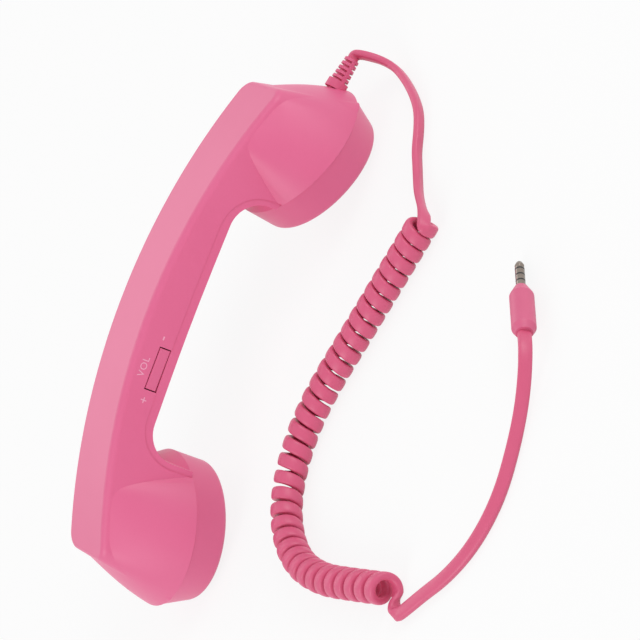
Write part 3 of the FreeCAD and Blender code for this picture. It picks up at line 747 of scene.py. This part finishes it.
    def curled_rings(self) -> list[Ring]:
        """Rings of the curls around the middle line, which face it with their wide side.

        Returns:
            The rings in order.
        """
        line = self.smooth_line(self.curl, self.curl_fineness)
        runs = step_lengths(line)
        reach = sum(runs)
        rings = []
        index = 0
        passed = 0.0
        for step in range(round(self.curl_turns * self.curl_steps) + 1):
            turn = step / self.curl_steps
            share = turn / self.curl_turns
            distance = reach * (self.curl_even * share + (1 - self.curl_even) * share * share)
            while index < len(runs) - 1 and passed + runs[index] < distance:
                passed += runs[index]
                index += 1
            ahead = (line[index + 1] - line[index]) / runs[index]
            angle = self.curl_start - 2 * math.pi * turn
            outward = UP.cross(ahead) * math.cos(angle) + UP * math.sin(angle)
            middle = line[index] + ahead * (distance - passed) + outward * self.curl_radius
            rings.append(Ring(middle, -outward, self.width))
        return rings

    def neck(self, rings: list[Ring]) -> None:
        """Draw the cord in where it comes out of the strain relief.

        Args:
            rings: The lead's rings in order.
        """
        gone = 0.0
        for before, ring in zip([rings[0], *rings], rings):
            gone += (ring.middle - before.middle).length
            share = ease(min(1.0, gone / self.neck_length))
            ring.width = self.neck_width + (self.width - self.neck_width) * share

    def wrap_over(self, rings: list[Ring]) -> None:
        """Turn the end of the lead over the first curl, with its inner face to the curls' middle line.

        Args:
            rings: The lead's rings in order.
        """
        gone = 0.0
        for after, ring in zip([rings[-1], *rings[::-1]], rings[::-1]):
            gone += (after.middle - ring.middle).length
            inward = (Vector(self.curl[0]) - ring.middle).normalized()
            ring.face = inward.lerp(ring.face, ease(min(1.0, gone / self.lead_wrap)))

    def squared(self, wave: float) -> float:
        """Sine or cosine, pushed out so that the outline gets flat sides and round corners."""
        return math.copysign(abs(wave) ** (2 / self.corner), wave)

    def section(self, ring: Ring, ahead: Vector) -> list[Vector]:
        """Rounded flat outline of the cord around one ring's middle.

        Args:
            ring: The ring.
            ahead: The way that the cord runs there.

        Returns:
            The outline's points in order.
        """
        face = (ring.face - ahead * ring.face.dot(ahead)).normalized()
        side = ahead.cross(face)
        points = []
        for index in range(self.around):
            angle = 2 * math.pi * index / self.around
            across = side * self.squared(math.cos(angle)) * ring.width / 2
            deep = face * self.squared(math.sin(angle)) * self.thickness / 2
            points.append(ring.middle + across + deep)
        return points

    def sleeve(self, rings: list[Ring]) -> bpy.types.Mesh:
        """Skin the rings with one closed tube.

        Args:
            rings: The cord's rings in order.

        Returns:
            The tube's mesh.
        """
        shape = bmesh.new()
        loops = []
        for index, ring in enumerate(rings):
            before = rings[max(index - 1, 0)].middle
            after = rings[min(index + 1, len(rings) - 1)].middle
            points = self.section(ring, (after - before).normalized())
            loops.append([shape.verts.new(point) for point in points])
        for low, high in zip(loops, loops[1:]):
            for index in range(self.around):
                onward = (index + 1) % self.around
                shape.faces.new((low[index], low[onward], high[onward], high[index]))
        shape.faces.new(loops[0][::-1])
        shape.faces.new(loops[-1])
        for face in shape.faces:
            face.smooth = True
        bmesh.ops.recalc_face_normals(shape, faces=shape.faces)
        mesh = bpy.data.meshes.new("cord")
        shape.to_mesh(mesh)
        shape.free()
        return mesh

    def build(self, plug: list[bpy.types.Object]) -> None:
        """Make the cord and dress its strain relief.

        Args:
            plug: The pieces of the plug on its far end. Not used.
        """
        finish_nodes(("strain_relief",), BOOT_PINK)
        lead = self.plain_rings(self.lead, self.lead_leans, 0.0)
        tail = self.plain_rings(self.tail, self.tail_leans, self.tail_hook)
        self.neck(lead)
        self.wrap_over(lead)
        rings = [*lead, *self.curled_rings(), *tail[1:]]
        cord = new_piece("cord", self.sleeve(rings), SHEATH)
        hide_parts("cord_lead", "curly_cord", "cord_tail")


@dataclass
class Lamp:
    """One soft panel lamp.

    Attributes:
        name: Name of the lamp.
        place: Where it hangs.
        size: Side of its square panel.
        watts: Its power.
    """

    name: str
    place: Point
    size: float
    watts: float


@dataclass
class Studio:
    """Pale floor, soft light and the camera at the photograph's angle.

    Attributes:
        floor_reach: How far the floor reaches each way.
        floor_white: How white the floor is where it takes light.
        floor_glow: Share of the plain white that the camera sees in place of the lit floor.
        ambient: Strength of the light from all around.
        lamps: The lamps.
        lamp_aim: Place that the lamps point at.
        camera_place: Where the camera stands.
        camera_aim: Place that it points at.
        camera_roll: How far it is turned about its view, in degrees.
        camera_lens: Focal length in millimetres.
        camera_reach: How far it sees.
    """

    floor_reach: float = 6.0
    floor_white: float = 0.9
    floor_glow: float = 0.86
    ambient: float = 0.52
    lamps: list[Lamp] = field(
        default_factory=lambda: [
            Lamp("back_lamp", (0.0, 1.0, 0.85), 1.1, 3.6),
            Lamp("mouth_lamp", (1.0, -0.55, 0.6), 0.7, 5.5),
            Lamp("ear_lamp", (-1.0, -0.55, 0.6), 0.7, 5.5),
        ]
    )
    lamp_aim: Point = (0.0, -0.05, 0.03)
    camera_place: Point = (0.026307, -1.382895, 0.724925)
    camera_aim: Point = (0.019941, -0.061276, 0.02)
    camera_roll: float = -69.3417
    camera_lens: float = 226.742
    camera_reach: float = 30.0

    def floor(self) -> None:
        """Lay the floor, which the camera sees as nearly white with a faint shadow."""
        reach = self.floor_reach
        mesh = bpy.data.meshes.new("floor")
        corners = [(-reach, -reach, 0), (reach, -reach, 0), (reach, reach, 0), (-reach, reach, 0)]
        mesh.from_pydata(corners, [], [(0, 1, 2, 3)])
        floor = bpy.data.objects.new("floor", mesh)
        bpy.context.scene.collection.objects.link(floor)
        material = bpy.data.materials.new("floor_white")
        material.use_nodes = True
        graph = Graph(material.node_tree)
        white = self.floor_white
        matt = graph.node("ShaderNodeBsdfDiffuse", {}, {"Color": (white, white, white, 1.0)})
        glow = graph.node("ShaderNodeEmission", {}, {"Strength": 1.0})
        mixed = graph.node("ShaderNodeMixShader", {}, {0: self.floor_glow * graph.seen(), 1: matt, 2: glow})
        graph.node("ShaderNodeOutputMaterial", {}, {"Surface": mixed})
        mesh.materials.append(material)

    def light(self) -> None:
        """Light the scene evenly from the world and softly from the lamps."""
        world = bpy.data.worlds.new("studio")
        world.use_nodes = True
        graph = Graph(world.node_tree)
        strength = self.ambient + (1 - self.ambient) * graph.seen()
        sky = graph.node("ShaderNodeBackground", {}, {"Color": (1.0, 1.0, 1.0, 1.0), "Strength": strength})
        graph.node("ShaderNodeOutputWorld", {}, {"Surface": sky})
        bpy.context.scene.world = world
        for lamp in self.lamps:
            data = bpy.data.lights.new(lamp.name, "AREA")
            data.size = lamp.size
            data.energy = lamp.watts
            panel = bpy.data.objects.new(lamp.name, data)
            panel.location = lamp.place
            sight = Vector(self.lamp_aim) - panel.location
            panel.rotation_euler = sight.to_track_quat("-Z", "Y").to_euler()
            bpy.context.scene.collection.objects.link(panel)

    def camera(self) -> None:
        """Set the camera at the photograph's viewing angle."""
        data = bpy.data.cameras.new("camera")
        data.lens = self.camera_lens
        data.clip_end = self.camera_reach
        camera = bpy.data.objects.new("camera", data)
        place = Vector(self.camera_place)
        turn = (Vector(self.camera_aim) - place).to_track_quat("-Z", "Y").to_matrix().to_4x4()
        roll = Matrix.Rotation(math.radians(self.camera_roll), 4, "Z")
        camera.matrix_world = Matrix.Translation(place) @ turn @ roll
        bpy.context.scene.collection.objects.link(camera)
        bpy.context.scene.camera = camera

    def build(self) -> None:
        """Set up the studio."""
        self.floor()
        self.light()
        self.camera()
        bpy.context.scene.view_settings.view_transform = "Standard"
        LOG.info("studio set up")


def main() -> None:
    """Build the handset's looks in order."""
    logging.basicConfig(level=logging.INFO, format="%(name)s: %(message)s")
    HandsetCase().build()
    VolumeControl().build()
    Receiver().build()
    Transmitter().build()
    CordRun().build(JackPlug().build())
    Studio().build()


if __name__ == "__main__":
    main()
